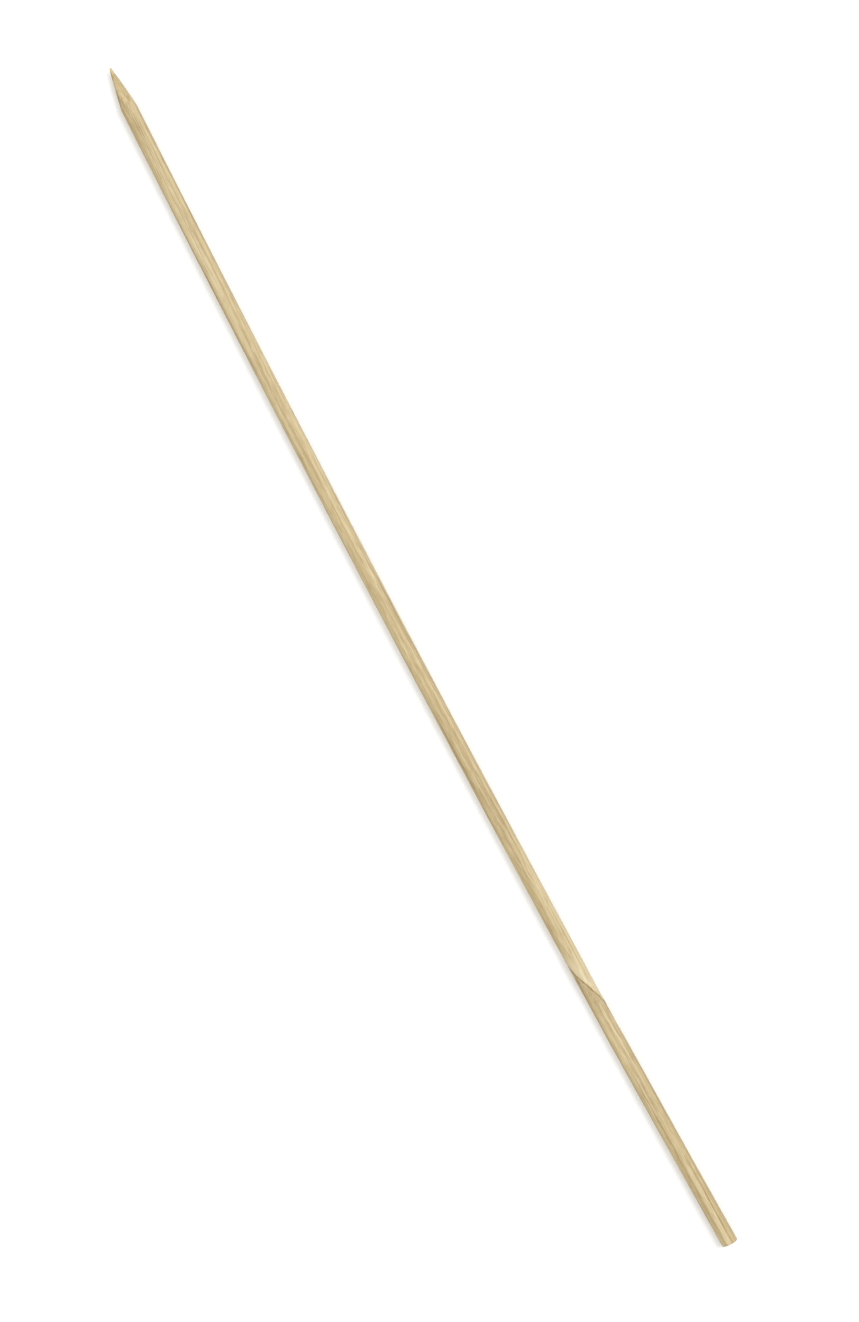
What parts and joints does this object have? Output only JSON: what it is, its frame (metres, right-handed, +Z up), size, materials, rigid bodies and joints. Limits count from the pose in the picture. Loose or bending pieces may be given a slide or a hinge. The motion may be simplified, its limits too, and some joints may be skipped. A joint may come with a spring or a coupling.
{
  "type": "wooden skewer",
  "caption": "Slim round bamboo stick with one end ground to a long point and the other sawn square, for holding pieces of food.",
  "frame": {"origin": "on the table under the middle of the stick's box, as the stick lies at rest on its skin side", "axes": "+X along the stick from the sawn butt to the point, +Z up from the table, Y across, with the stick's natural bow towards +Y"},
  "size_m": [0.2, 0.0038, 0.0025],
  "materials": {
    "bamboo": "satin"
  },
  "bodies": {
    "root": {"skewer": "bamboo"}
  },
  "joints": []
}
